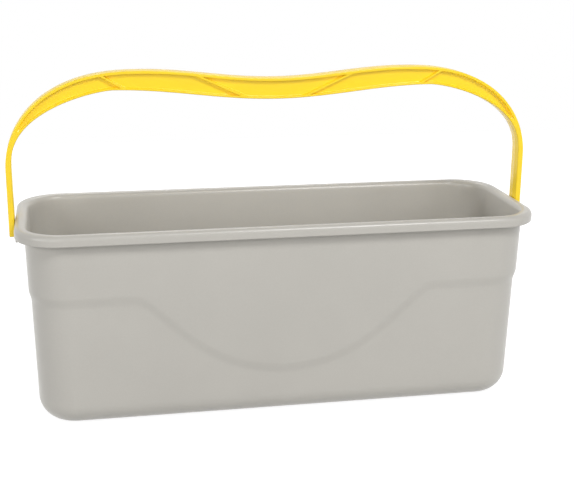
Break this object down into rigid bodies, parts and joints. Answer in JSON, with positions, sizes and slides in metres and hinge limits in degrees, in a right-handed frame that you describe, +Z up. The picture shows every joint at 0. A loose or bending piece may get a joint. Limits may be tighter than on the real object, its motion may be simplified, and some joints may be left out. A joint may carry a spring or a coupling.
{
  "type": "mop bucket",
  "caption": "Long rectangular mop bucket, a tapered plastic tub with a rolled rim and a shoulder that dips on its long faces, under a wavy bail handle that swings on snap studs.",
  "frame": {"origin": "middle of the tub's footprint, on the floor it stands on", "axes": "+X runs along the tub's length, +Y across it towards the back long face, +Z up through the open mouth"},
  "size_m": [0.5324, 0.18, 0.3406],
  "materials": {
    "tub_plastic": "satin warm grey polypropylene, fine moulded texture",
    "bail_plastic": "semi-gloss yellow polypropylene"
  },
  "bodies": {
    "tub": {"tub": "tub_plastic"},
    "bail": {"bail_handle": "bail_plastic"}
  },
  "joints": [
    {"name": "bail_swing", "type": "hinge", "parent": "tub", "child": "bail", "pos_m": [0, 0, 0.189], "axis": [1, 0, 0], "range_deg": [-133, 133]}
  ]
}
